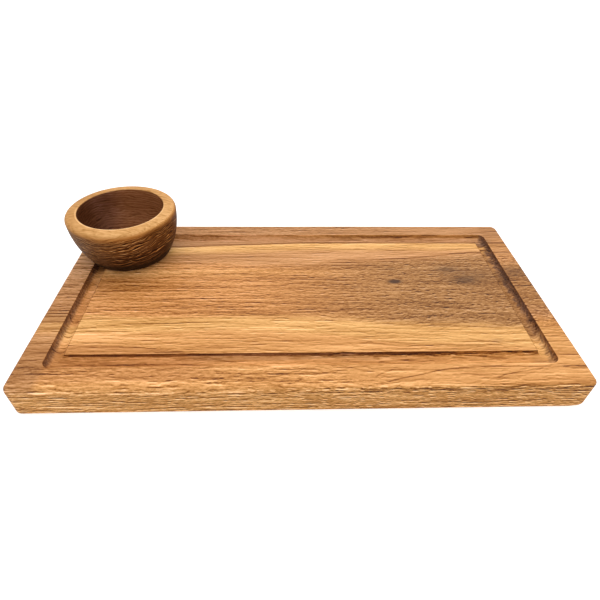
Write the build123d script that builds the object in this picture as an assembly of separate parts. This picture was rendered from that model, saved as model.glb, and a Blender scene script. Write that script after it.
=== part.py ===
from build123d import *
import math
import os

# A wooden serving board with a juice groove round its top, and a loose turned bowl for the dip
# that stands on the board's back left corner, across the groove.
# Millimetres. +X runs along the board to the right, +Y to the back and +Z up. The origin is the
# centre of the board's underside.

# Serving board
board_length = 400.0
board_width = 201.5
board_thickness = 26.0
board_corner_radius = 6.0  # the four upright corners, seen from above
board_edge_round = 2.5  # the edges round the top and round the underside

# Juice groove, cut by a bit with a ball nose
groove_inset = 24.3  # from the board's edges to the groove's centreline
groove_back_shift = 1.5  # the whole groove lies this much nearer to the back edge
groove_depth = 4.8
groove_bit_radius = 6.0
groove_lip_round = 0.4

# Dip bowl
bowl_left_inset = 46.2  # from the board's left edge to the bowl's axis
bowl_back_inset = 43.45  # from the board's back edge to the bowl's axis
bowl_height = 44.0
bowl_widest_radius = 45.5  # just under the rim, from left to right
bowl_narrow_radius = 43.5  # the same from front to back, as the bowl has dried a little oval
bowl_rim_width = 10.3  # from the opening to the widest point
bowl_rim_crown = 4.2  # fall of the rim from its crest to the widest point
bowl_rim_round = 3.5  # the rim's outer edge
bowl_lip_round = 1.0  # the rim's inner edge
bowl_flare = 15.2  # from the flat foot out to the widest point
bowl_heel_radius = 6.0  # where the wall turns into the foot
bowl_floor_thickness = 9.0
bowl_floor_radius = 12.0  # the flat middle of the inside
bowl_inner_upright = 8.5  # upright stretch of the inside, below the rim


def groove_run(length):
    """Cut of one straight run: the bit's outline carried along X, centred on the origin."""
    cut_top = board_thickness + groove_bit_radius
    bit_centre = board_thickness - groove_depth + groove_bit_radius
    nose = ThreePointArc(
        (-groove_bit_radius, bit_centre),
        (0, bit_centre - groove_bit_radius),
        (groove_bit_radius, bit_centre),
    )
    shank = Polyline(
        (groove_bit_radius, bit_centre),
        (groove_bit_radius, cut_top),
        (-groove_bit_radius, cut_top),
        (-groove_bit_radius, bit_centre),
    )
    outline = Plane.YZ * make_face([nose, shank])
    return extrude(outline, amount=length / 2, both=True)


def groove_corner():
    """Cut left by the turning bit itself, where two runs meet."""
    cut_top = board_thickness + groove_bit_radius
    bit_centre = board_thickness - groove_depth + groove_bit_radius
    nose = CenterArc((0, bit_centre), groove_bit_radius, -90, 90)
    shank = Polyline(
        (groove_bit_radius, bit_centre),
        (groove_bit_radius, cut_top),
        (0, cut_top),
        (0, bit_centre - groove_bit_radius),
    )
    return revolve(Plane.XZ * make_face([nose, shank]), Axis.Z)


def groove_cut():
    """The whole groove: four runs that meet at the four corners of its centreline."""
    reach_x = board_length / 2 - groove_inset
    reach_y = board_width / 2 - groove_inset
    cut = Part()
    for side in (-1, 1):
        cut += Pos(Y=side * reach_y) * groove_run(2 * reach_x)
        cut += Pos(X=side * reach_x) * Rot(Z=90) * groove_run(2 * reach_y)
    for side_x in (-1, 1):
        for side_y in (-1, 1):
            cut += Pos(side_x * reach_x, side_y * reach_y) * groove_corner()
    return Pos(Y=groove_back_shift) * cut


def serving_board():
    """One plank with rounded corners and edges, and the groove cut into its top."""
    blank = extrude(
        RectangleRounded(board_length, board_width, board_corner_radius), board_thickness
    )
    faces = blank.faces().sort_by(Axis.Z)
    plank = fillet(faces[0].edges() + faces[-1].edges(), board_edge_round)
    plank -= groove_cut()
    margin, field = plank.faces().filter_by(Plane.XY).group_by(Axis.Z)[-1].sort_by(SortBy.AREA)
    lips = margin.inner_wires()[0].edges() + field.edges()
    return fillet(lips, groove_lip_round)


def bowl_profile():
    """Half of the bowl's upright section, in radius and height above the foot."""
    foot_radius = bowl_widest_radius - bowl_flare
    opening_radius = bowl_widest_radius - bowl_rim_width
    widest_height = bowl_height - bowl_rim_crown
    upright_end = bowl_height - bowl_inner_upright

    # The wall is an arc that leaves the heel's arc smoothly and is upright at the widest point.
    rise = widest_height - bowl_heel_radius
    wall_radius = (bowl_flare**2 + rise**2 - bowl_heel_radius**2) / (
        2 * (bowl_flare - bowl_heel_radius)
    )
    wall_centre = bowl_widest_radius - wall_radius
    wall_start = math.degrees(math.atan2(-rise, foot_radius - wall_centre))

    # The rim falls from its crest in a shallow arc that runs smoothly into its round outer edge.
    crest = opening_radius + bowl_lip_round
    edge_centre = bowl_widest_radius - bowl_rim_round
    rim_run = edge_centre - crest
    rim_radius = (rim_run**2 + bowl_rim_crown**2 - bowl_rim_round**2) / (
        2 * (bowl_rim_crown - bowl_rim_round)
    )
    rim_meets = math.degrees(math.atan2(rim_radius - bowl_rim_crown, rim_run))

    outline = [
        Line((0, 0), (foot_radius, 0)),
        CenterArc((foot_radius, bowl_heel_radius), bowl_heel_radius, -90, 90 + wall_start),
        CenterArc((wall_centre, widest_height), wall_radius, wall_start, -wall_start),
        CenterArc((edge_centre, widest_height), bowl_rim_round, 0, rim_meets),
        CenterArc((crest, bowl_height - rim_radius), rim_radius, rim_meets, 90 - rim_meets),
        CenterArc((crest, bowl_height - bowl_lip_round), bowl_lip_round, 90, 90),
        Line((opening_radius, bowl_height - bowl_lip_round), (opening_radius, upright_end)),
        EllipticalCenterArc(
            (bowl_floor_radius, upright_end),
            opening_radius - bowl_floor_radius,
            upright_end - bowl_floor_thickness,
            start_angle=270,
            arc_size=90,
        ),
        Line((bowl_floor_radius, bowl_floor_thickness), (0, bowl_floor_thickness)),
        Line((0, bowl_floor_thickness), (0, 0)),
    ]
    return make_face(outline)


def dip_bowl():
    """Turned bowl, a little oval, standing on the board's top."""
    oval = bowl_narrow_radius / bowl_widest_radius
    bowl = scale(revolve(Plane.XZ * bowl_profile(), Axis.Z), by=(1, oval, 1))
    axis_x = bowl_left_inset - board_length / 2
    axis_y = board_width / 2 - bowl_back_inset
    return Pos(axis_x, axis_y, board_thickness) * bowl


os.makedirs("parts", exist_ok=True)
export_step(serving_board(), "parts/serving_board.step")
export_step(dip_bowl(), "parts/dip_bowl.step")
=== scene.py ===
import math

import bpy
from bpy.props import FloatProperty, FloatVectorProperty, PointerProperty
from mathutils import Matrix, Vector


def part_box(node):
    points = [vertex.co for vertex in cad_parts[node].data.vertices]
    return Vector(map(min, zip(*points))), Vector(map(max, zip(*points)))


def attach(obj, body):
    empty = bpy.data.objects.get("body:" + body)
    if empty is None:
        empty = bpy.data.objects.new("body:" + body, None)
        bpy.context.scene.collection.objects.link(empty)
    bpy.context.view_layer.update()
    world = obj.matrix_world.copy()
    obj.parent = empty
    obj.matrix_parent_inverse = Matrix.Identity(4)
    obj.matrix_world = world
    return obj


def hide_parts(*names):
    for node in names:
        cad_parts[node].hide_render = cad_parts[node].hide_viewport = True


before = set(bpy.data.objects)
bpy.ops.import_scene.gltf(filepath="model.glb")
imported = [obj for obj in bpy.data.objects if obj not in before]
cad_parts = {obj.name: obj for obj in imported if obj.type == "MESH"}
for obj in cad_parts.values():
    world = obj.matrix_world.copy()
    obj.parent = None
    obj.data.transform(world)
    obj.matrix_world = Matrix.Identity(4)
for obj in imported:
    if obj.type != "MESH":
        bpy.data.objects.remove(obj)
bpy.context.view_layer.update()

bl_info = {
    "name": "Chip and dip server",
    "version": (1, 0, 0),
    "blender": (4, 5, 0),
    "location": "View3D > Sidebar > Server",
    "description": "A serving board of oiled wood with a turned dip bowl on its corner",
    "category": "Object",
}

BOARD_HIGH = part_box("serving_board")[1]
BOWL_LOW, BOWL_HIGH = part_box("dip_bowl")
BOARD_TOP = BOARD_HIGH[2]
BOWL_AXIS = ((BOWL_LOW[0] + BOWL_HIGH[0]) / 2, (BOWL_LOW[1] + BOWL_HIGH[1]) / 2)
MM = 0.001

# The board, in millimetres. Its origin is the middle of its underside.
HALF_LENGTH = BOARD_HIGH[0] / MM
HALF_WIDTH = BOARD_HIGH[1] / MM
TOP = BOARD_TOP / MM
CORNER = 6.0
EDGE_ROUND = 2.5
FRONT_WEAR = 3.5  # how much rounder the left of the top's front edge is worn
END_WEAR = 2.5  # how much rounder the right end's lower edge is worn
GROOVE_LIP = 30.3  # from the board's ends to the groove's inner lips
GROOVE_SHIFT = 1.5  # the groove lies this much towards the back
MARGIN = 8  # from the board's edges, clear of the groove and of the rounded edges

# The bowl, in millimetres, as in its section.
BOWL_HALF_X = (BOWL_HIGH[0] - BOWL_LOW[0]) / 2 / MM
BOWL_HALF_Y = (BOWL_HIGH[1] - BOWL_LOW[1]) / 2 / MM
BOWL_HEIGHT = (BOWL_HIGH[2] - BOWL_LOW[2]) / MM
BOWL_RIM_WIDTH = 10.3
BOWL_RIM_CROWN = 4.2
BOWL_RIM_ROUND = 3.5
BOWL_LIP_ROUND = 1.0
BOWL_FLARE = 15.2
BOWL_HEEL = 6.0
BOWL_FLOOR = 9.0
BOWL_FLOOR_RADIUS = 12.0
BOWL_UPRIGHT = 8.5
BOWL_STEPS = 160  # round the axis
BOWL_GRAIN = math.radians(-12)  # how far the bowl's grain is turned from the board's

# How the meshes are worked.
ALONG, ACROSS, UP = (1, 0, 0), (0, 1, 0), (0, 0, 1)
SAME_POINT = 1e-6  # in metres
SMOOTH_ANGLE = math.radians(35)
FLAT_ANGLE = math.radians(0.2)
# Strips that the board is cut into along its length, in millimetres: from, to and how wide. They
# are finest at the worn front edge, and leave out the groove's two long runs.
STRIPS = ((-HALF_WIDTH, -93, 1.1), (-93, -82, 2), (-68, 70, 2.5), (84, HALF_WIDTH, 2))
STRIP_LENGTH = 4
STRIP_HEIGHT = 0.9

# How wood is coloured: the levels that it stays between, how much faster green and blue fall than
# red, the edge of a pore in its noise, and the share of a line's width that is fully dark.
DARKEST, LIGHTEST = 0.12, 2.4
GREEN_FALL, BLUE_FALL = 1.35, 2.1
PORE_EDGE = (0.57, 0.64)
LINE_CORE = 0.4

# The stage, in metres.
FRAME_WIDTH = 36.0  # of the camera, in millimetres
FLOOR_SIZE = 12.0
FLOOR_DROP = 0.3 * MM  # below the board, so that the two don't lie in one plane
FLOOR_GLOW = 0.65
LAMP_SIZE = (1.4, 1.0)
LAMP_AT = Vector((0.25, 0.4, 1.05))


def srgb(red, green, blue):
    """A colour as a screen shows it, 0 to 255, in the linear values that Blender works in."""
    linear = []
    for level in (red, green, blue):
        part = level / 255
        linear.append(part / 12.92 if part <= 0.04045 else ((part + 0.055) / 1.055) ** 2.4)
    return tuple(linear)


def colour(name, description, default):
    """A colour that a user would change."""
    return FloatVectorProperty(
        name=name, description=description, subtype="COLOR", size=3, min=0, max=1, default=default
    )


class PlankLook(bpy.types.PropertyGroup):
    """The board's wood: where the heart of the log lay, and its colours."""

    heart_depth: FloatProperty(
        name="Heart depth", description="From the board's top down to the log's pith",
        default=60 * MM, subtype="DISTANCE",
    )
    ring_width: FloatProperty(
        name="Ring width", description="Wood grown in one year",
        default=3.0 * MM, subtype="DISTANCE",
    )
    core: colour("Core", "Greyish brown wood nearest to the pith", srgb(173, 119, 65))
    heart: colour("Heart", "Brown wood of the heart", srgb(214, 145, 80))
    honey: colour("Honey", "Light wood next to the heart", srgb(238, 177, 104))
    tan: colour("Tan", "Warm wood towards the bark", srgb(230, 163, 94))
    brown: colour("Brown", "Darker band of the warm wood", srgb(208, 141, 78))
    dull: colour("Dull", "Duller wood behind the heart", srgb(211, 149, 92))
    rear: colour("Rear", "Dark wood along the back edge", srgb(194, 136, 84))
    side: colour("Side", "Greener wood of the upright sides", srgb(210, 148, 78))
    knot: colour("Knot", "Dark wood of the pin knots", srgb(86, 56, 34))
    # Also the colour of the painted shade and shadow in the groove: on its sides, under the bowl
    # and in its front run.
    oiled: colour("Oiled end", "End grain in the groove, where the oil gathers", srgb(100, 64, 42))


class BowlLook(bpy.types.PropertyGroup):
    """The bowl's wood."""

    rim: colour("Rim", "Light wood on top of the rim", srgb(233, 176, 111))
    # Also the colour that the painted highlights on the level lines' lips are mixed towards.
    edge: colour("Edge", "Wood where the rim rolls over", srgb(203, 142, 75))
    shoulder: colour("Shoulder", "Wood under the rim", srgb(156, 103, 49))
    wall: colour("Wall", "Dark oiled wood of the wall", srgb(111, 70, 35))
    foot: colour("Foot", "Darkest wood, low on the wall", srgb(75, 42, 20))
    # A painted shadow, nearly black, where the wall turns into the foot and meets the board.
    painted_heel_shadow: colour("Heel", "Nearly black wood where the wall turns into the foot", srgb(30, 15, 8))
    # A painted reflection: the sheen of the even light on the wall's front left.
    painted_grey_sheen: colour("Grey", "Dry wood on the left of the wall", srgb(126, 89, 55))
    inside: colour("Inside", "Dark oiled wood inside the bowl", srgb(117, 65, 28))
    dusk: colour("Dusk", "Duller wood on the left of the inside", srgb(96, 58, 40))


class StageLook(bpy.types.PropertyGroup):
    """Floor, light and camera."""

    floor: colour("Floor", "The plain pale floor", (0.86, 0.86, 0.86))
    sky: FloatProperty(
        name="Sky", description="Level of the even light from all round", default=0.75
    )
    lamp: FloatProperty(
        name="Lamp", description="Power of the soft lamp overhead", default=5.0, subtype="POWER"
    )
    camera_at: FloatVectorProperty(
        name="Camera", description="Where the camera stands", subtype="TRANSLATION",
        default=(-15.51 * MM, -280.86 * MM, 262.58 * MM),
    )
    pitch: FloatProperty(
        name="Pitch", description="How far the camera looks down", subtype="ANGLE",
        default=math.radians(41.358),
    )
    yaw: FloatProperty(
        name="Yaw", description="How far the camera turns to its left", subtype="ANGLE",
        default=math.radians(-2.855),
    )
    roll: FloatProperty(
        name="Roll", description="How far the camera leans to its left", subtype="ANGLE",
        default=math.radians(1.613),
    )
    lens: FloatProperty(
        name="Lens", description="Focal length on a frame 36 mm wide, in millimetres", default=26.48
    )


class Field:
    """A node's output, so that shader maths is written as expressions."""

    def __init__(self, tree, socket):
        self.tree = tree
        self.socket = socket

    def math(self, operation, *others, swapped=False):
        operands = (self, *others)
        if swapped:
            operands = operands[::-1]
        node = self.tree.nodes.new("ShaderNodeMath")
        node.operation = operation
        for place, operand in enumerate(operands):
            plug(self.tree, node.inputs[place], operand)
        return Field(self.tree, node.outputs[0])

    def __add__(self, other):
        return self.math("ADD", other)

    def __sub__(self, other):
        return self.math("SUBTRACT", other)

    def __mul__(self, other):
        return self.math("MULTIPLY", other)

    def __truediv__(self, other):
        return self.math("DIVIDE", other)

    def __radd__(self, other):
        return self.math("ADD", other, swapped=True)

    def __rsub__(self, other):
        return self.math("SUBTRACT", other, swapped=True)

    def __rmul__(self, other):
        return self.math("MULTIPLY", other, swapped=True)

    def __rtruediv__(self, other):
        return self.math("DIVIDE", other, swapped=True)

    def __pow__(self, other):
        return self.math("POWER", other)

    def __abs__(self):
        return self.math("ABSOLUTE")

    def root(self):
        return self.math("SQRT")

    def clamped(self):
        return self.math("MINIMUM", 1.0).math("MAXIMUM", 0.0)


def plug(tree, socket, value):
    """Links a field to a socket, or sets a plain value on it."""
    if isinstance(value, Field):
        tree.links.new(value.socket, socket)
    else:
        socket.default_value = value


def set_stops(elements, stops):
    """Puts colours at places from 0 to 1 along a ramp."""
    while len(elements) < len(stops):
        elements.new(0.5)
    for element, (at, shade) in zip(elements, stops):
        element.position = at
        element.color = (*shade, 1.0)


def knee(field, soft):
    """Nothing below 0 and twice the field above it, with a soft bend between."""
    return (field * field + soft * soft).root() + field


class Nodes:
    """A node tree, and the fields that are worked out in it."""

    def __init__(self, tree):
        self.tree = tree
        self.tree.nodes.clear()

    def node(self, kind, settings=None, sockets=None, output=0):
        """Adds a node, settings first and then sockets, and gives one output, or all for None."""
        node = self.tree.nodes.new(kind)
        for setting, value in (settings or {}).items():
            if setting == "stops":
                set_stops(node.color_ramp.elements, value)
            else:
                setattr(node, setting, value)
        for socket, value in (sockets or {}).items():
            plug(self.tree, node.inputs[socket], value)
        if output is None:
            return [Field(self.tree, socket) for socket in node.outputs]
        return Field(self.tree, node.outputs[output])

    def split(self, vector):
        """The three parts of a vector or a colour."""
        return self.node("ShaderNodeSeparateXYZ", None, {0: vector}, None)

    def join(self, x, y, z):
        return self.node("ShaderNodeCombineXYZ", None, {0: x, 1: y, 2: z})

    def ray(self, fact):
        """A fact about the ray that meets the surface, such as its length."""
        return self.node("ShaderNodeLightPath", output=fact)

    def step(self, field, low, high):
        """0 below low and 1 above high, smooth between; falls where low is above high."""
        settings = {"interpolation_type": "SMOOTHSTEP"}
        return self.node("ShaderNodeMapRange", settings, {0: field, 1: low, 2: high})


class Finish(Nodes):
    """A material, and the fields that its colours and bumps are worked out from."""

    def __init__(self, name):
        self.material = bpy.data.materials.new(name)
        self.material.use_nodes = True
        super().__init__(self.material.node_tree)

    def place(self):
        """The point on the piece, in millimetres, as three fields."""
        point = self.node("ShaderNodeTexCoord", output="Object")
        scaled = self.node(
            "ShaderNodeVectorMath", {"operation": "SCALE"}, {0: point, "Scale": 1 / MM}
        )
        return self.split(scaled)

    def facing(self):
        """The surface's direction on the piece, as three fields."""
        return self.split(self.node("ShaderNodeTexCoord", output="Normal"))

    def noise(self, x, y, z, detail=2.0, roughness=0.5, output="Fac"):
        """Smooth noise from 0 to 1, about 0.5, with one swing for each unit of its point."""
        sockets = {
            "Vector": self.join(x, y, z), "Scale": 1.0, "Detail": detail, "Roughness": roughness
        }
        return self.node("ShaderNodeTexNoise", None, sockets, output)

    def pores(self, x, y, z):
        """Thin crisp lines along x, 1 on the line, over about a sixth of the surface."""
        return self.step(self.noise(x, y, z, 1.0), *PORE_EDGE)

    def crease(self, field, at, width):
        """One thin line where a field passes a value, 1 on the line."""
        return self.step(abs(field - at), width, width * LINE_CORE)

    def ramp(self, field, look, bands):
        """Colours of a look at places along a field, blended between."""
        low, high = bands[0][0], bands[-1][0]
        stops = [((at - low) / (high - low), getattr(look, name)) for at, name in bands]
        return self.node("ShaderNodeValToRGB", {"stops": stops}, {0: (field - low) / (high - low)})

    def mix(self, amount, first, second):
        """A blend of two colours."""
        first, second = (
            shade if isinstance(shade, Field) else (*shade, 1.0) for shade in (first, second)
        )
        # The node's sockets for colours come after those for numbers and vectors.
        sockets = {0: amount, 6: first, 7: second}
        return self.node("ShaderNodeMix", {"data_type": "RGBA"}, sockets, 2)

    def deepen(self, shade, level):
        """A colour at a level, where 1 leaves it alone: oiled wood grows redder as it darkens."""
        level = level.math("MAXIMUM", DARKEST).math("MINIMUM", LIGHTEST)
        levels = self.join(level, level ** GREEN_FALL, level ** BLUE_FALL)
        return self.node("ShaderNodeVectorMath", {"operation": "MULTIPLY"}, {0: shade, 1: levels})

    def surface(self, shade, roughness, gloss, height, depth):
        """The oiled surface: colour, roughness, gloss, and a height field that is depth deep."""
        bump = self.node(
            "ShaderNodeBump", None, {"Height": height, "Distance": depth, "Strength": 1.0}
        )
        sockets = {
            "Base Color": shade,
            "Roughness": roughness,
            "Normal": bump,
            "Specular IOR Level": gloss,
        }
        return self.closed(self.node("ShaderNodeBsdfPrincipled", None, sockets))

    def closed(self, shader):
        """The material, with a shader as its surface."""
        self.node("ShaderNodeOutputMaterial", None, {"Surface": shader}, None)
        return self.material


# Knots in the board's top: place, spread, how far the rings bend round them and how dark they are.
KNOTS = (
    (80, 11, 6.0, 5.0, 1.6),
    (79, 29, 3.5, 1.0, 0.5),
    (130, 28, 13.0, 0.0, 0.5),
    (141, 12, 15.0, 0.0, 0.55),
    (150, 20, 24.0, 0.0, 0.3),
    (188, 23, 18.0, 0.0, 0.4),
    (143, -59, 5.0, 2.0, 0.3),
    (176, 73, 10.0, 0.0, 0.6),
    (95, -87, 16.0, -5.0, 0.0),
)
KNOT_STRETCH = 2.2  # along the grain
KNOT_CORE = 0.4  # share of a knot's spread that is dark

# Single dark grain lines on the board's top: from and to along X, then Y at the start, the middle
# and the end, and how dark they are.
GRAIN = (
    (-2, 77, -9.5, -9.3, -12.2, 0.45),
    (72, 126, -11.5, -18.5, -21.0, 0.55),
    (40, 146, -51.6, -52.8, -61.7, 0.45),
    (92, 142, -46.5, -49.0, -52.5, 0.25),
    (10, 80, -48.9, -58.5, -66.0, 0.3),
    (-6, 92, -78.0, -74.8, -71.5, 0.5),
    (16, 44, -90.5, -84.0, -82.0, 0.4),
    (47, 66, -92.0, -87.2, -85.0, 0.55),
    (131, 166, -93.0, -88.8, -86.1, 0.7),
    (164, 199, -86.1, -85.6, -85.9, 0.5),
    (150, 198, -58.0, -60.5, -60.0, 0.3),
    (-60, 60, 17.0, 15.5, 18.0, 0.2),
    (60, 168, -30.0, -33.5, -33.0, 0.3),
)
LINE = 0.8  # half the width of a single line, in millimetres

# Layers of pores in the board: how long, how thick and how strong they are, and how much stronger
# on the torn sides and in the curly wood.
PLANK_PORES = (
    (46, 2.4, 0.9, 0.8, -0.6),
    (20, 2.1, 0.9, 0.0, -0.3),
    (8, 1.9, 0.9, -0.8, 0.0),
    (4, 1.8, 0.4, 0.0, 0.6),
)

# Layers of pores in the bowl: how long and how thick they are.
BOWL_PORES = ((34, 2.7), (15, 2.4), (7, 2.1))
LAYER_SHIFT = 40  # from one layer's noise to the next one's, in swings

# Colours of the board: before the heart by distance from the pith, behind it by distance from the
# dark wood's border, and beyond the groove at the right end by place along the end.
FRONT_BANDS = ((66, "honey"), (75, "honey"), (79, "tan"), (120, "tan"))
BACK_BANDS = (
    (-40, "dull"), (-15, "dull"), (-7, "honey"), (-1, "honey"), (0.5, "rear"), (30, "rear")
)
END_BANDS = (
    (-100, "tan"), (-38, "tan"), (-31, "rear"), (-18, "core"),
    (32, "core"), (41, "dull"), (74, "dull"), (84, "rear"),
)

# Colours of the bowl's outside by height above its foot.
BOWL_BANDS = (
    (0, "foot"), (19, "foot"), (28, "wall"), (35, "wall"),
    (37.8, "shoulder"), (40.5, "edge"), (43, "rim"), (44, "rim"),
)


class Plank(Finish):
    """The board's wood: flat-sawn, with growth rings round a pith that lies under the board."""

    def __init__(self, look):
        super().__init__("oiled plank")
        self.look = look
        self.x, self.y, self.z = self.place()
        self.facing_x, self.facing_y, self.facing_z = self.facing()
        self.flank = self.step(abs(self.facing_y), 0.5, 0.95)
        self.rear = self.flank * self.step(self.y, -20, 20)
        self.right = self.step(self.x, -60, 60)
        self.planed = self.step(self.z, TOP - 6, TOP - 3)
        self.streak = self.noise(self.x / 75, self.y / 3.6, self.z / 3.6, 1.0)
        self.lay_rings()
        self.lay_bands()
        self.find_groove()

    def lay_rings(self):
        """Distance from the pith. The grain wanders, spreads to the right and bends round knots."""
        x, y, z = self.x, self.y, self.z
        drift = self.split(self.noise(x / 210, y / 60, z / 60, 1.0, 0.5, "Color"))
        self.sway = self.split(self.noise(x / 70, y / 15, z / 15, 1.0, 0.5, "Color"))
        across = y - 3 + (drift[0] - 0.5) * 8 + (self.sway[0] - 0.5) * 3
        height = z - TOP + (drift[1] - 0.5) * 8 + (self.sway[1] - 0.5) * 3
        self.side = across / (1 + knee(x + 20, 60) * 0.0011)
        rise = height + self.look.heart_depth / MM
        self.unbent = (self.side * self.side + rise * rise).root()
        self.reach = self.unbent
        self.knots = 0.0
        for knot_x, knot_y, spread, bend, darkness in KNOTS:
            far_x = (x - knot_x) / KNOT_STRETCH
            far_y = y - knot_y
            far = far_x * far_x + far_y * far_y
            self.reach = self.reach + (far / -(spread**2)).math("EXPONENT") * bend
            dark = (far / -((spread * KNOT_CORE) ** 2)).math("EXPONENT")
            self.knots = self.knots + dark * darkness

    def lay_bands(self):
        """Where the bands of colour meet. Their borders are feathered along the grain."""
        x, y = self.x, self.y
        self.feather = (self.noise(x / 30, y / 1.6, self.z / 1.6, 2.0, 0.6) - 0.5) * 7
        self.depth = self.reach + self.feather
        self.front = self.step(self.side, 10, -10)
        self.inner = self.step(self.depth, 65.5, 70)
        self.fall = y + 59 + knee(x + 130, 30) * 0.09
        self.border = y - 69.5 + (abs(x) - x) * 0.03

    def find_groove(self):
        """The groove, its two runs across the grain, its back run and its front run."""
        inside_x = self.step(abs(self.x), HALF_LENGTH - MARGIN, HALF_LENGTH - MARGIN - 1)
        inside_y = self.step(abs(self.y), HALF_WIDTH - MARGIN, HALF_WIDTH - MARGIN - 1)
        sunk = self.step(TOP - self.z, 0.1, 0.5)
        self.groove = sunk * inside_x * inside_y * self.step(self.z, TOP - 8, TOP - 6)
        self.crosses = self.groove * self.step(abs(self.x), 165, 168)
        self.back = self.groove * self.step(self.y, 60, 66)
        self.fore = self.groove * self.step(self.y, -66, -69) * (1 - self.crosses)

    def shade(self):
        """Colour before any oil: by distance from the pith, at the two ends and on the sides."""
        look, x, y, feather = self.look, self.x, self.y, self.feather
        old = self.step(x, -70, 110) * self.step(x, 186, 174)
        heart = self.mix(old, look.heart, look.core)
        glow = self.crease(self.side + feather, 19, 7) * (1 - self.right)
        heart = self.mix(glow * 0.7, heart, look.tan)
        before = self.ramp(self.depth, look, FRONT_BANDS)
        brown = self.step(self.fall + feather * 0.3, 0.6, -0.6) * self.step(y + feather, -96, -91)
        before = self.mix(brown * self.step(x, -40, -90), before, look.brown)
        behind = self.ramp(self.border + feather * 0.3, look, BACK_BANDS)
        shade = self.mix(self.inner, heart, self.mix(self.front, behind, before))

        ending = self.ramp(y + feather * 0.4, look, END_BANDS)
        shade = self.mix(self.step(x, 178, 184) * self.planed * 0.85, shade, ending)
        paler = self.crease(y + feather * 0.4, -43, 8) * 0.4
        left_end = self.step(x, -176, -183) * self.planed
        shade = self.mix(left_end * (0.8 - paler), shade, look.rear)

        worn = self.step(self.z + feather * 0.4, TOP - 8, TOP - 2) * (1 - self.right)
        return self.mix(self.flank * (0.85 - worn * 0.6), shade, look.side)

    def ring_lines(self):
        """The dark end of each ring: strong in some years, strongest in the groove's end runs."""
        years = self.reach / (self.look.ring_width / MM)
        part = years.math("FRACT")
        late = self.step(part, 0.6, 0.94) * self.step(part, 1.0, 0.97)
        year = self.noise(years.math("FLOOR") * 7.31, self.x / 90, 0.0, 1.0)
        strength = 0.1 + self.step(year, 0.48, 0.62) * 0.8
        far = self.step(self.reach, 88, 96) * 0.5 * self.right
        return late * strength * (0.4 + self.inner * 0.15 + far) * (1 + self.crosses * 2.5)

    def single_lines(self):
        """Dark lines on the top: bands' borders, an arch, grain lines, and painted shade along the
        groove's inner lips.
        """
        x, y, sway = self.x, self.y, self.sway[2]
        fallen = self.crease(self.fall, 0, LINE) * self.step(y, -82, -78)
        lines = 0.5 * fallen * self.step(x, -150, -120)
        behind = self.crease(self.unbent, 69, 0.6) * (1 - self.front)
        lines = lines + 0.7 * behind * self.step(x, 10, 60)
        arch = y + 84 + knee(100 - x, 10) * 0.135 + (sway - 0.5) * 6
        lines = lines + self.crease(arch, 0, LINE) * self.step(x, 42, 62)
        lines = lines + self.crease(self.border, 0.3, 1.5) * (0.4 + sway * 0.8)
        wobble = (sway - 0.5) * 3 + (self.noise(x / 9, y / 9, 5.0, 1.0) - 0.5) * 3
        for start, stop, first, middle, last, darkness in GRAIN:
            way = (x - start) / (stop - start)
            bend = 2 * first - 4 * middle + 2 * last
            curve = first + way * (way * bend + (4 * middle - 3 * first - last))
            fade = self.step(way, -0.06, 0.06) * self.step(way, 1.06, 0.94) * darkness
            lines = lines + self.crease(y - curve + wobble, 0, LINE) * fade
        lines = lines * self.step(self.facing_z, 0.3, 0.7)
        # Painted shade along the inner lips of the groove's end runs.
        lips = self.crease(abs(x), HALF_LENGTH - GROOVE_LIP, 0.6)
        lips = lips * self.step(abs(y - GROOVE_SHIFT), 71, 70)
        return lines + lips * self.planed * 0.7

    def pore_lines(self, curly, plainer):
        """Thin dark lines along the grain, and in front of each a light lip, a painted highlight
        where the relief would catch the light.

        Long ones lie on the left of the top, and short ones in the curly wood on its right. On the
        back face the lips are lines of their own.
        """
        lip_y = 1.15 * (1 - self.flank)
        torn = self.flank * (0.5 - self.right) * 0.4 + self.rear * 0.6
        pore = 0.0
        lip = 0.0
        for place, (length, thickness, usual, on_side, in_curl) in enumerate(PLANK_PORES):
            weight = usual + torn * on_side + curly * in_curl
            weight = (weight - plainer * in_curl * 0.7).math("MAXIMUM", 0.1)
            run = self.x / length + place * LAYER_SHIFT
            flat = thickness * 0.75
            pore = pore + self.pores(run, self.y / thickness, self.z / flat) * weight
            before = (self.y + lip_y) / thickness
            below = (self.z + self.flank) / flat
            lip = lip + self.pores(run + self.rear * 17.3, before, below) * weight
        return pore, lip

    def tone(self):
        """How light the grain is at each point, with painted highlights on the pores' lips, about
        1, and its height for the bumps.

        The pores are strongest in the heart, near the edges and on the upright sides.
        """
        x, y, z, flank, right = self.x, self.y, self.z, self.flank, self.right
        broad = self.noise(x / 120, y / 11, z / 11, 2.0)
        fine = self.noise(x / 3.2, y / 1.3, z / 1.1, 2.0, 0.6)
        curly = (1 - self.inner) * self.step(x, -20, 110) * (1 - flank)
        rough = self.step(self.reach, 90, 104)
        plainer = self.inner * (1 - rough) * (1 - flank)
        coarse = 0.6 + (0.35 + curly * 0.2) * (1 - self.inner) + 0.35 * rough
        coarse = coarse + (flank - self.rear * 0.8) * (0.42 + right * 0.4)
        coarse = coarse * (1 - self.crosses * 0.3)
        line = self.ring_lines()
        pore, lip = self.pore_lines(curly, plainer)

        tone = 1.03 + (broad - 0.5) * 0.8 + (self.streak - 0.5) * (0.8 - plainer * 0.25)
        tone = tone + (fine - 0.5) * (1.1 + curly * 0.5 - plainer * 0.5) * coarse
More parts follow.
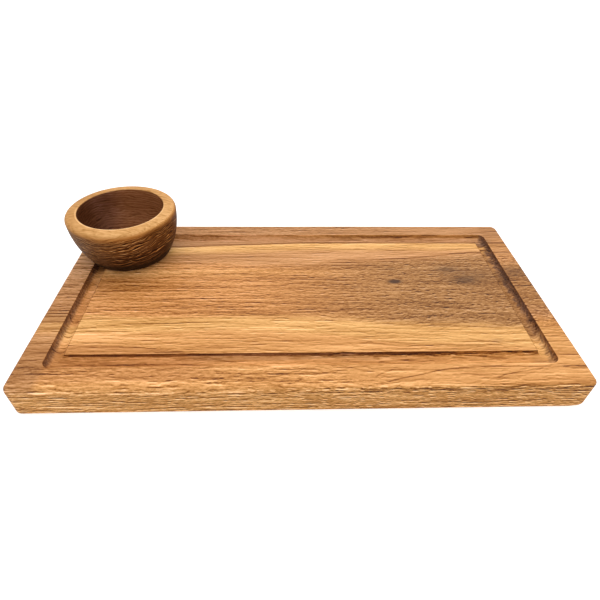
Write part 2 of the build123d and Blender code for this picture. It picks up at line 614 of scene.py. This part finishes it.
        # The light lips are painted highlights, and the pores darken.
        tone = tone + lip * coarse * (0.28 + flank * 0.27) - pore * coarse * 0.36
        tone = tone - line * 0.4 - self.single_lines() * 0.55
        under = self.step(z, TOP - 8, TOP - 5) * self.step(z, TOP - 1.4, TOP - 2.2)
        under = under * flank * right
        dashes = self.step(self.noise(x / 13, z / 2.5, 3.0, 1.0), 0.42, 0.57)
        tone = tone - under * dashes * 0.45
        relief = self.streak * 0.5 + fine * 0.3 - line * 0.3 - pore * coarse * 0.5
        return tone, relief

    def oil(self):
        """How the end grain is darkened by oil, with painted shade on the groove's steep sides and
        under its front run's far lip, painted light in its left run, on the top's front left and on
        the left end beside the bowl, and darker at the two ends and on the right of the upright
        sides, about 1.
        """
        x, y, z = self.x, self.y, self.z
        end = self.step(abs(self.facing_x), 0.25, 0.9) * (1 - self.groove)
        # Painted shade on the groove's steep sides: half as much in its back run and none in its
        # front run. In the end runs it also stands for the oiled end grain.
        steep = self.step(self.facing_z, 0.85, 0.3) * self.groove
        # Painted shade just under the far lip of the front run, on the side that faces the front.
        painted_far_lip_shade = self.fore * self.step(z, TOP - 3.0, TOP - 1.6)
        painted_far_lip_shade = painted_far_lip_shade * self.step(self.facing_y, -0.3, -0.6) * (1 - self.step(x, 90, 150) * 0.45)
        walls = 1 - steep * (0.5 - self.fore * 0.5 - self.back * 0.25)
        level = (1 - end * 0.3) * (walls + self.back * 0.06 - painted_far_lip_shade * 0.78)
        sunny = self.step(x, -50, -100) * self.step(y, -68, -62) * self.step(y, -40, -46)
        level = level * (1 - self.flank * self.right * 0.1) * (1 + sunny * 0.14)
        # Painted light in the left run, where the bowl's shadow falls.
        painted_light_patch = self.crosses * self.step(x, 0, -100) * self.crease(y + self.feather, 4, 16)
        level = level * (1 + painted_light_patch * self.step(self.facing_x, 0.5, 0.2) * 0.3)
        # Darker at the two ends, with painted light on the left end beside the bowl, where its
        # shadow falls.
        left_end = self.step(x, -176, -183) * (1 - self.step(y, -15, 15) * 2)
        ends = self.step(x, 179, 184) + left_end
        return level * (1 - ends * self.planed * (1 - self.flank) * 0.12)

    def stain_and_painted_shade(self):
        """Where the groove is darkened: oil on the end grain of its end runs' sides, partly painted
        shade, painted shadow where it passes under the bowl, and painted shade on its front run's
        far side.
        """
        x, y, facing_x = self.x, self.y, self.facing_x
        on_left = self.step(x, 0, -100)
        on_right = self.step(x, 0, 100)
        # Oil on the end grain of the end runs' sides, partly painted shade, strongest on the right
        # run's side that faces left.
        scallop = (self.noise(self.reach / 3.2, y / 7, 2.0, 1.0) - 0.5) * 1.4
        stain_and_painted_shade = self.step(facing_x + scallop * self.right, -0.1, -0.5) * on_right
        stain_and_painted_shade = stain_and_painted_shade * (0.9 - 0.4 * self.step(y, -10, -50))
        stain_and_painted_shade = stain_and_painted_shade + self.step(facing_x, -0.55, -0.75) * on_right * 0.35
        stain_and_painted_shade = stain_and_painted_shade + self.step(facing_x, 0.3, 0.75) * on_left * 0.8
        # Painted shadow in the left run, under the bowl.
        stain_and_painted_shade = stain_and_painted_shade + on_left * self.step(y, 25, 38) * 0.8
        stripes = self.noise(self.reach / 1.3, x / 9, self.z / 1.6, 2.0)
        stain_and_painted_shade = stain_and_painted_shade * self.crosses * (0.55 + self.step(stripes, 0.35, 0.6) * 0.45)
        # Painted shadow in the back run, under the bowl.
        painted_shadow_under_bowl = (self.back - self.crosses * self.back) * self.step(x, -130, -165)
        stain_and_painted_shade = stain_and_painted_shade + painted_shadow_under_bowl * 0.8
        # Painted shade on the front run's far side, which faces the front.
        ragged = x + self.feather * 6
        front = self.fore * self.step(ragged, -100, -60) * self.step(ragged, 90, 20)
        front = front * self.step(self.facing_y, -0.1, -0.5) * self.step(self.streak, 0.3, 0.6)
        return (stain_and_painted_shade + front * 0.4).clamped()


def plank_wood(look):
    """The board's finish: colour, then oil with painted shade and light, then grain, then the pin
    knots.
    """
    wood = Plank(look)
    tone, relief = wood.tone()
    shade = wood.mix(wood.stain_and_painted_shade(), wood.deepen(wood.shade(), wood.oil()), look.oiled)
    smear = wood.knots * (0.5 + wood.noise(wood.x / 12, wood.y / 2.5, wood.z / 2.5, 2.0))
    shade = wood.mix(smear.clamped(), wood.deepen(shade, tone), look.knot)
    roughness = 0.55 + (wood.streak - 0.5) * 0.15
    return wood.surface(shade, roughness, gloss=0.22, height=relief, depth=0.11 * MM)


def turned_wood(look):
    """Block with nearly level growth rings, oiled dark inside and out and left light on its rim."""
    wood = Finish("oiled turned block")
    x, y, z = wood.place()
    x = x - BOWL_AXIS[0] / MM
    y = y - BOWL_AXIS[1] / MM
    z = z - TOP
    facing_x, facing_y, facing_z = wood.facing()
    stretched = y * (BOWL_HALF_X / BOWL_HALF_Y)
    radius = (x * x + stretched * stretched).root()
    opening = BOWL_HALF_X - BOWL_RIM_WIDTH
    hollow = wood.step(radius, opening + 0.5, opening + 0.1) * wood.step(z, 5, 8)
    outer = 1 - hollow
    rim = wood.step(z, 40, 42.5) * outer
    sole = wood.step(facing_z, -0.8, -0.98)

    # The grain runs a little off the board's, and the rings are wavy.
    along = x * math.cos(BOWL_GRAIN) + y * math.sin(BOWL_GRAIN)
    across = y * math.cos(BOWL_GRAIN) - x * math.sin(BOWL_GRAIN)
    wander = wood.split(wood.noise(along / 17, across / 17, z / 9, 1.0, 0.5, "Color"))
    level = z + (wander[1] - 0.5) * 7 + along * 0.03 + (across * across) * 0.004
    packed = level * (1 + level * 0.016)

    # Colour by height on the outside, streaked along the grain, with a painted sheen on its front
    # left, a painted reflection of the even light.
    feather = (wood.noise(along / 20, across / 6, packed / 2.0, 2.0, 0.6) - 0.5) * 9
    lower = wood.step(facing_x, 0.4, 0.7) * wood.step(z, 28, 36) * wood.step(z, 43.5, 41) * 3
    outside = wood.ramp(z - lower + feather * wood.step(z, 43.5, 38), look, BOWL_BANDS)
    painted_grey_sheen = wood.step(facing_x, 0.0, -0.5) * wood.step(facing_y, 0.3, -0.3)
    outside = wood.mix(painted_grey_sheen * wood.step(z, 42, 38) * 0.7, outside, look.painted_grey_sheen)
    dusk = wood.step(facing_x, 0.1, 0.8) * 0.7
    shade = wood.mix(hollow, outside, wood.mix(dusk, look.inside, look.dusk))

    # Level lines, wavy and broken, each with a light lip under it, painted as a highlight where a
    # ridge would catch the light. They are faint in the hollow, on the rim and under the foot, and
    # calmer at the back and the left.
    broad = wood.noise(along / 40, across / 8, z / 8, 2.0)
    fine = wood.noise(along / 4, across / 3, packed / 1.3, 2.0, 0.6)
    pore = 0.0
    lip = 0.0
    for place, (length, thickness) in enumerate(BOWL_PORES):
        run = along / length + place * LAYER_SHIFT
        pore = pore + wood.pores(run, across / 14, packed / thickness)
        lip = lip + wood.pores(run, across / 14, (packed + 1.4) / thickness)
    high = wood.step(z, 8, 28) * outer
    strong = (1.45 + high * 0.1) * (1 - wood.step(z, 35, 41.5) * outer * 0.9)
    strong = strong * (1 - hollow * 0.82) * (1 - sole * 0.8)
    calm = 1 - wood.step(facing_y, -0.4, 0.4) * 0.65
    calm = calm * (1 - wood.step(facing_x, -0.3, -0.8) * 0.4)
    lit = (0.12 + high * 0.12) * calm
    # The lips are painted highlights, mixed towards the edge colour.
    shade = wood.mix((lip * strong * lit).clamped(), shade, look.edge)
    tone = 1.0 + (broad - 0.5) * (0.7 - rim * 0.4) + (fine - 0.5) * 1.5 * strong
    tone = tone + lip * strong * 0.15 - pore * strong * calm * (0.8 - high * 0.28)

    # Fine straight grain on the rim, and ovals of the rings in the hollow, which is cut along them.
    streak = wood.noise(along / 14, across / 1.1, z / 1.1, 2.0, 0.6)
    specks = wood.pores(along / 9, across / 1.6, z / 1.6)
    tone = tone + ((streak - 0.5) * 0.9 - specks * 0.16) * rim
    oval = (along * along * 0.4 + across * across + z * z * 2).root() + (wander[0] - 0.5) * 6
    ripple = (oval * (2 * math.pi / 2.8)).math("SINE") + (fine - 0.5) * 2
    tone = tone + ripple * hollow * 0.16

    # The right of the wall is darker, the inside gets painted light on its back and painted shade
    # on its floor, the rim is darker at its left and back, and its lip gets a painted highlight in
    # front. A nearly black painted shadow lies where the wall turns into the foot.
    turned = 1 - wood.step(facing_x, 0.3, 0.95) * outer * wood.step(z, 42, 38) * 0.25
    # Painted light on the back of the inside, which faces the front, and painted shade on its
    # floor.
    painted_light_and_shade_inside = wood.step(facing_y, -0.1, -0.8) * 0.9 - wood.step(facing_z, 0.5, 0.95) * 0.12
    within = (1 + hollow * painted_light_and_shade_inside) * (1 - hollow * wood.step(facing_x, 0.2, 0.8) * 0.25)
    within = within * (1 - rim * (wood.step(x, -10, -36) * 0.18 + wood.step(y, 0, 30) * 0.12))
    # A painted highlight along the front of the inner lip.
    painted_lip_highlight = wood.crease(radius, opening + 0.9, 1.0) * wood.step(y, 15, -20)
    painted_lip_highlight = painted_lip_highlight * wood.step(z, 42, 43) * 0.35
    shade = wood.deepen(shade, tone * turned * within + painted_lip_highlight)
    # A nearly black painted shadow where the wall turns into the foot.
    painted_heel_shadow = wood.step(z, 12, 6.5) * outer * (1 - sole)
    shade = wood.mix(painted_heel_shadow * 0.85, shade, look.painted_heel_shadow)

    roughness = 0.5 + (fine - 0.5) * 0.2
    relief = fine * 0.3 * strong - pore * strong * 0.5
    return wood.surface(shade, roughness, gloss=0.1, height=relief, depth=0.1 * MM)


def activate(piece):
    """Selects a piece alone and makes it the active one."""
    bpy.ops.object.select_all(action="DESELECT")
    piece.select_set(True)
    bpy.context.view_layer.objects.active = piece


def edit(piece):
    """Opens a piece in edit mode with all of it selected."""
    activate(piece)
    bpy.ops.object.mode_set(mode="EDIT")
    bpy.ops.mesh.select_all(action="SELECT")


def cut(normal, places):
    """Cuts the piece in edit mode along flat planes, so that it has points to shape."""
    for at in places:
        bpy.ops.mesh.select_all(action="SELECT")
        bpy.ops.mesh.bisect(plane_co=[axis * at * MM for axis in normal], plane_no=normal)


def spaced(low, high, gap):
    """Places between two ends, as nearly a gap apart as goes in evenly."""
    count = round((high - low) / gap)
    return [low + (high - low) * place / count for place in range(1, count)]


def share(value, start, stop):
    """How far a value has come from a start to a stop, from 0 to 1."""
    return min(max((value - start) / (stop - start), 0.0), 1.0)


def group(piece, name, chosen):
    """A vertex group of the points that are chosen by their place in millimetres."""
    points = [point.index for point in piece.data.vertices if chosen(*(point.co / MM))]
    piece.vertex_groups.new(name=name).add(points, 1.0, "REPLACE")


def weather(piece, name, on, size, depth, turn=0.0):
    """Wears a vertex group down by up to a depth, in swells of a size along X, Y and Z."""
    bpy.ops.object.empty_add(rotation=(0, 0, turn))
    guide = bpy.context.object
    guide.scale = [length * MM for length in size]
    swells = bpy.data.textures.new(name, "CLOUDS")
    swells.noise_scale = 1.0
    swells.noise_depth = 1
    activate(piece)
    wear = piece.modifiers.new(name, "DISPLACE")
    wear.texture = swells
    wear.texture_coords = "OBJECT"
    wear.texture_coords_object = guide
    wear.vertex_group = on
    wear.mid_level = 1.0
    wear.strength = depth * MM
    bpy.ops.object.modifier_apply(modifier=name)
    bpy.data.objects.remove(guide)


def finished(piece, finish, node, body):
    """Gives a piece its finish, and puts it in the place of a CAD node."""
    edit(piece)
    bpy.ops.mesh.normals_make_consistent(inside=False)
    bpy.ops.object.mode_set(mode="OBJECT")
    bpy.ops.object.shade_smooth_by_angle(angle=SMOOTH_ANGLE)
    piece.data.materials.clear()
    piece.data.materials.append(finish)
    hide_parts(node)
    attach(piece, body)


def edge_round(x, frontal, upper):
    """Radius of the board's outer edge: most on the top's front left and low at the right end."""
    if upper:
        left = share(x, 60, -60)
        return EDGE_ROUND + FRONT_WEAR * left * left * (3 - 2 * left) * (0.15 + 0.85 * frontal)
    return EDGE_ROUND + END_WEAR * share(x, 188, 198)


def wear_edge(piece):
    """Rounds the outer edges over, by moving the points that lie near them."""
    for point in piece.data.vertices:
        x, y, z = point.co / MM
        over = Vector(
            (max(abs(x) - HALF_LENGTH + CORNER, 0.0), max(abs(y) - HALF_WIDTH + CORNER, 0.0))
        )
        inset = CORNER - over.length
        if inset >= CORNER:
            continue
        frontal = (over.y / over.length) ** 2 if y < 0 else 0.0
        upper = z > TOP / 2
        radius = edge_round(x, frontal, upper)
        fall = TOP - z if upper else z
        if inset >= radius or fall >= radius:
            continue
        way = Vector((inset - radius, fall - radius)).normalized() * radius
        out = over.normalized() * (inset - radius - way.x)
        fall = radius + way.y
        x += out.x * math.copysign(1, x)
        y += out.y * math.copysign(1, y)
        point.co = Vector((x, y, TOP - fall if upper else fall)) * MM


def shape_board():
    """The plank: cut up finely, its edge worn round, its sides torn along the grain."""
    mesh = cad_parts["serving_board"].data.copy()
    piece = bpy.data.objects.new("plank", mesh)
    bpy.context.scene.collection.objects.link(piece)
    edit(piece)
    bpy.ops.mesh.remove_doubles(threshold=SAME_POINT)
    bpy.ops.mesh.customdata_custom_splitnormals_clear()
    bpy.ops.mesh.dissolve_limited(angle_limit=FLAT_ANGLE)
    cut(ALONG, spaced(-HALF_LENGTH, HALF_LENGTH, STRIP_LENGTH))
    cut(UP, spaced(EDGE_ROUND, TOP, STRIP_HEIGHT))
    for low, high, gap in STRIPS:
        cut(ACROSS, spaced(low, high, gap))
    bpy.ops.object.mode_set(mode="OBJECT")
    wear_edge(piece)

    # The underside stays flat.
    def worked(x, y, z):
        return z > 0.5

    def on_side(x, y, z):
        return worked(x, y, z) and (abs(x) > HALF_LENGTH - 0.4 or abs(y) > HALF_WIDTH - 0.4)

    group(piece, "sides", on_side)
    group(piece, "worked", worked)
    weather(piece, "torn grain", on="sides", size=(60, 5, 4), depth=0.1)
    weather(piece, "planing", on="worked", size=(90, 14, 30), depth=0.15)
    return piece


def arc(centre, radii, start, stop, steps):
    """Points along an arc after its first one, in radius and height."""
    points = []
    for place in range(1, steps + 1):
        angle = start + (stop - start) * place / steps
        points.append(
            (centre[0] + radii[0] * math.cos(angle), centre[1] + radii[1] * math.sin(angle))
        )
    return points


def bowl_section():
    """Half of the bowl's upright section, from the foot's middle round to the floor's middle."""
    foot = BOWL_HALF_X - BOWL_FLARE
    opening = BOWL_HALF_X - BOWL_RIM_WIDTH
    wide_at = BOWL_HEIGHT - BOWL_RIM_CROWN
    rise = wide_at - BOWL_HEEL
    wall = (BOWL_FLARE**2 + rise**2 - BOWL_HEEL**2) / (2 * (BOWL_FLARE - BOWL_HEEL))
    leaves = math.atan2(-rise, foot - BOWL_HALF_X + wall)
    crest = opening + BOWL_LIP_ROUND
    edge = BOWL_HALF_X - BOWL_RIM_ROUND
    run = edge - crest
    rim = (run**2 + BOWL_RIM_CROWN**2 - BOWL_RIM_ROUND**2) / (2 * (BOWL_RIM_CROWN - BOWL_RIM_ROUND))
    meets = math.atan2(rim - BOWL_RIM_CROWN, run)
    upright = BOWL_HEIGHT - BOWL_UPRIGHT
    quarter = math.pi / 2

    points = [(0, 0), (foot / 2, 0), (foot, 0)]
    points += arc((foot, BOWL_HEEL), (BOWL_HEEL, BOWL_HEEL), -quarter, leaves, steps=8)
    points += arc((BOWL_HALF_X - wall, wide_at), (wall, wall), leaves, 0, steps=40)
    points += arc((edge, wide_at), (BOWL_RIM_ROUND, BOWL_RIM_ROUND), 0, meets, steps=7)
    points += arc((crest, BOWL_HEIGHT - rim), (rim, rim), meets, quarter, steps=8)
    lip = (BOWL_LIP_ROUND, BOWL_LIP_ROUND)
    points += arc((crest, BOWL_HEIGHT - BOWL_LIP_ROUND), lip, quarter, math.pi, steps=5)
    points += [(opening, upright + 2.5), (opening, upright)]
    hollow = (opening - BOWL_FLOOR_RADIUS, upright - BOWL_FLOOR)
    points += arc((BOWL_FLOOR_RADIUS, upright), hollow, 0, -quarter, steps=28)
    points += [(BOWL_FLOOR_RADIUS / 2, BOWL_FLOOR), (0, BOWL_FLOOR)]
    return points


def shape_bowl():
    """The bowl: its section drawn point by point, spun round its axis and dried a little oval."""
    points = bowl_section()
    centre = (BOWL_AXIS[0], BOWL_AXIS[1], BOARD_TOP)
    bpy.ops.object.select_all(action="DESELECT")
    bpy.ops.mesh.primitive_plane_add(size=MM, location=(0, 0, 0))
    piece = bpy.context.object
    piece.name = "turned_bowl"
    edit(piece)
    bpy.ops.mesh.merge(type="CENTER")
    bpy.ops.transform.translate(value=centre)
    for here, there in zip(points, points[1:]):
        step = ((there[0] - here[0]) * MM, 0, (there[1] - here[1]) * MM)
        bpy.ops.mesh.extrude_region_move(TRANSFORM_OT_translate={"value": step})
    bpy.ops.mesh.select_all(action="SELECT")
    bpy.ops.mesh.spin(steps=BOWL_STEPS, angle=2 * math.pi, center=centre, axis=UP)
    bpy.ops.mesh.select_all(action="SELECT")
    bpy.ops.mesh.remove_doubles(threshold=SAME_POINT)
    bpy.ops.mesh.normals_make_consistent(inside=False)
    bpy.ops.transform.resize(value=(1, BOWL_HALF_Y / BOWL_HALF_X, 1), center_override=centre)
    bpy.ops.object.mode_set(mode="OBJECT")

    # The wall between the heel and the rim.
    low = TOP + 4
    high = TOP + 39
    middle = Vector(BOWL_AXIS) / MM

    def on_wall(x, y, z):
        return low < z < high and (Vector((x, y)) - middle).length > 25 + (z - low) * 0.3

    group(piece, "wall", on_wall)
    weather(piece, "level grain", on="wall", size=(18, 14, 3), depth=0.1, turn=BOWL_GRAIN)
    return piece


class SERVER_OT_board(bpy.types.Operator):
    """Model the serving board in oiled wood"""

    bl_idname = "server.board"
    bl_label = "Serving board"

    def execute(self, context):
        finish = plank_wood(context.scene.server_plank)
        finished(shape_board(), finish, "serving_board", "board")
        return {"FINISHED"}


class SERVER_OT_bowl(bpy.types.Operator):
    """Model the dip bowl in oiled turned wood"""

    bl_idname = "server.bowl"
    bl_label = "Dip bowl"

    def execute(self, context):
        finish = turned_wood(context.scene.server_bowl)
        finished(shape_bowl(), finish, "dip_bowl", "bowl")
        return {"FINISHED"}


class SERVER_OT_stage(bpy.types.Operator):
    """Set up the floor, the light and the camera"""

    bl_idname = "server.stage"
    bl_label = "Stage"

    def execute(self, context):
        look = context.scene.server_stage
        add_floor(look)
        add_light(context.scene, look)
        add_camera(context.scene, look)
        return {"FINISHED"}


def add_floor(look):
    """Pale floor that keeps the shadow.

    It can be looked through from below, and lets light in to the board's underside.
    """
    bpy.ops.object.select_all(action="DESELECT")
    bpy.ops.mesh.primitive_plane_add(size=FLOOR_SIZE, location=(0, 0, -FLOOR_DROP))
    floor = bpy.context.object
    floor.name = "floor"
    paint = Finish("floor paint")
    diffuse = paint.node("ShaderNodeBsdfDiffuse", None, {"Color": (*look.floor, 1.0)})
    seen = paint.ray("Is Camera Ray")
    glow = paint.node("ShaderNodeEmission", None, {"Strength": seen * FLOOR_GLOW})
    pale = paint.node("ShaderNodeAddShader", None, {0: diffuse, 1: glow})
    below = paint.node("ShaderNodeNewGeometry", output="Backfacing")
    close = paint.step(paint.ray("Ray Length"), 2 * MM, 1 * MM)
    clear = paint.node("ShaderNodeBsdfTransparent")
    sockets = {0: below.math("MAXIMUM", close), 1: pale, 2: clear}
    sheet = paint.node("ShaderNodeMixShader", None, sockets)
    floor.data.materials.append(paint.closed(sheet))


def add_light(scene, look):
    """Even light from all round, which the camera sees as white, and one soft lamp overhead."""
    scene.view_settings.view_transform = "Standard"
    scene.world = bpy.data.worlds.new("studio")
    scene.world.use_nodes = True
    world = Nodes(scene.world.node_tree)
    seen, glossy = world.ray("Is Camera Ray"), world.ray("Is Glossy Ray")
    shown = (seen + glossy + world.ray("Is Transmission Ray")).clamped()
    strength = look.sky + shown * (1 - look.sky)
    sockets = {"Color": (1.0, 1.0, 1.0, 1.0), "Strength": strength}
    sky = world.node("ShaderNodeBackground", None, sockets)
    world.node("ShaderNodeOutputWorld", None, {"Surface": sky}, None)

    lamp = bpy.data.lights.new("overhead", "AREA")
    lamp.shape = "RECTANGLE"
    lamp.size, lamp.size_y = LAMP_SIZE
    lamp.energy = look.lamp
    holder = bpy.data.objects.new("overhead", lamp)
    holder.location = LAMP_AT
    holder.rotation_euler = (-LAMP_AT).to_track_quat("-Z", "Y").to_euler()
    scene.collection.objects.link(holder)


def add_camera(scene, look):
    """The camera, at the photograph's place and angle."""
    eye = bpy.data.cameras.new("camera")
    eye.sensor_width = FRAME_WIDTH
    eye.lens = look.lens
    eye.clip_start = 10 * MM
    holder = bpy.data.objects.new("camera", eye)
    turn = (
        Matrix.Rotation(look.yaw, 4, "Z")
        @ Matrix.Rotation(math.pi / 2 - look.pitch, 4, "X")
        @ Matrix.Rotation(look.roll, 4, "Z")
    )
    holder.matrix_world = Matrix.Translation(look.camera_at) @ turn
    scene.collection.objects.link(holder)
    scene.camera = holder


class SERVER_PT_panel(bpy.types.Panel):
    """Lists the server's pieces and the stage"""

    bl_idname = "SERVER_PT_panel"
    bl_label = "Chip and dip server"
    bl_space_type = "VIEW_3D"
    bl_region_type = "UI"
    bl_category = "Server"

    def draw(self, context):
        for operator in OPERATORS:
            self.layout.operator(operator.bl_idname)


OPERATORS = (SERVER_OT_board, SERVER_OT_bowl, SERVER_OT_stage)
LOOKS = {"server_plank": PlankLook, "server_bowl": BowlLook, "server_stage": StageLook}
CLASSES = (*LOOKS.values(), *OPERATORS, SERVER_PT_panel)


def register():
    for kind in CLASSES:
        bpy.utils.register_class(kind)
    for name, look in LOOKS.items():
        setattr(bpy.types.Scene, name, PointerProperty(type=look))


def unregister():
    for name in LOOKS:
        delattr(bpy.types.Scene, name)
    for kind in reversed(CLASSES):
        bpy.utils.unregister_class(kind)


def main():
    register()
    bpy.ops.server.board()
    bpy.ops.server.bowl()
    bpy.ops.server.stage()


if __name__ == "__main__":
    main()
